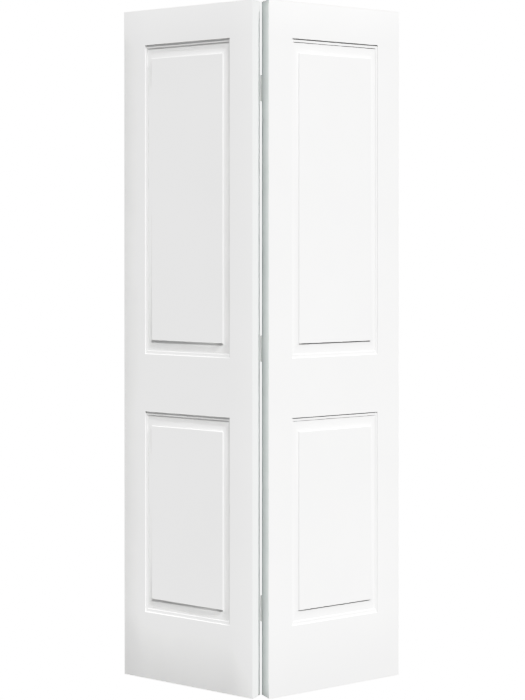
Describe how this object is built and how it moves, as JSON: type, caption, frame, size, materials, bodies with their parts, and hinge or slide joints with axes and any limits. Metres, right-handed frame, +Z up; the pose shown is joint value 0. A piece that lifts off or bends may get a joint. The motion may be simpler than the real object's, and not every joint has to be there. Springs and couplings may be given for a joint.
{
  "type": "bifold closet door",
  "caption": "Bifold closet door: two white hollow-core leaves with moulded raised panels, hinged at the back, part folded.",
  "frame": {"origin": "middle of the standing door's box, on the floor under the bottom edges", "axes": "+Z up the door, +Y towards the backs of the leaves, +X from the pivot leaf to the lead leaf"},
  "size_m": [0.8316, 0.2592, 2.007],
  "materials": {
    "painted_board": "white primer, satin",
    "frame_wood": "planed softwood",
    "honeycomb": "matt",
    "hinge_steel": "white coated",
    "screw_steel": "white coated"
  },
  "bodies": {
    "pivot_leaf": {"bottom_hinge_pin": "hinge_steel", "bottom_hinge_pivot_plate": "hinge_steel", "middle_hinge_pin": "hinge_steel", "middle_hinge_pivot_plate": "hinge_steel", "pivot_back_skin": "painted_board", "pivot_bottom_rail": "frame_wood", "pivot_front_skin": "painted_board", "pivot_hinge_screws": "screw_steel", "pivot_hinge_stile": "frame_wood", "pivot_lower_core": "honeycomb", "pivot_mid_rail": "frame_wood", "pivot_outer_stile": "frame_wood", "pivot_top_rail": "frame_wood", "pivot_upper_core": "honeycomb", "top_hinge_pin": "hinge_steel", "top_hinge_pivot_plate": "hinge_steel"},
    "lead_leaf": {"bottom_hinge_lead_plate": "hinge_steel", "lead_back_skin": "painted_board", "lead_bottom_rail": "frame_wood", "lead_front_skin": "painted_board", "lead_hinge_screws": "screw_steel", "lead_hinge_stile": "frame_wood", "lead_lower_core": "honeycomb", "lead_mid_rail": "frame_wood", "lead_outer_stile": "frame_wood", "lead_top_rail": "frame_wood", "lead_upper_core": "honeycomb", "middle_hinge_lead_plate": "hinge_steel", "top_hinge_lead_plate": "hinge_steel"}
  },
  "joints": [
    {"name": "leaf_fold", "type": "hinge", "parent": "pivot_leaf", "child": "lead_leaf", "pos_m": [0, -0.08922, 0], "axis": [0, 0, 1], "range_deg": [-58.8, 117.2]}
  ]
}
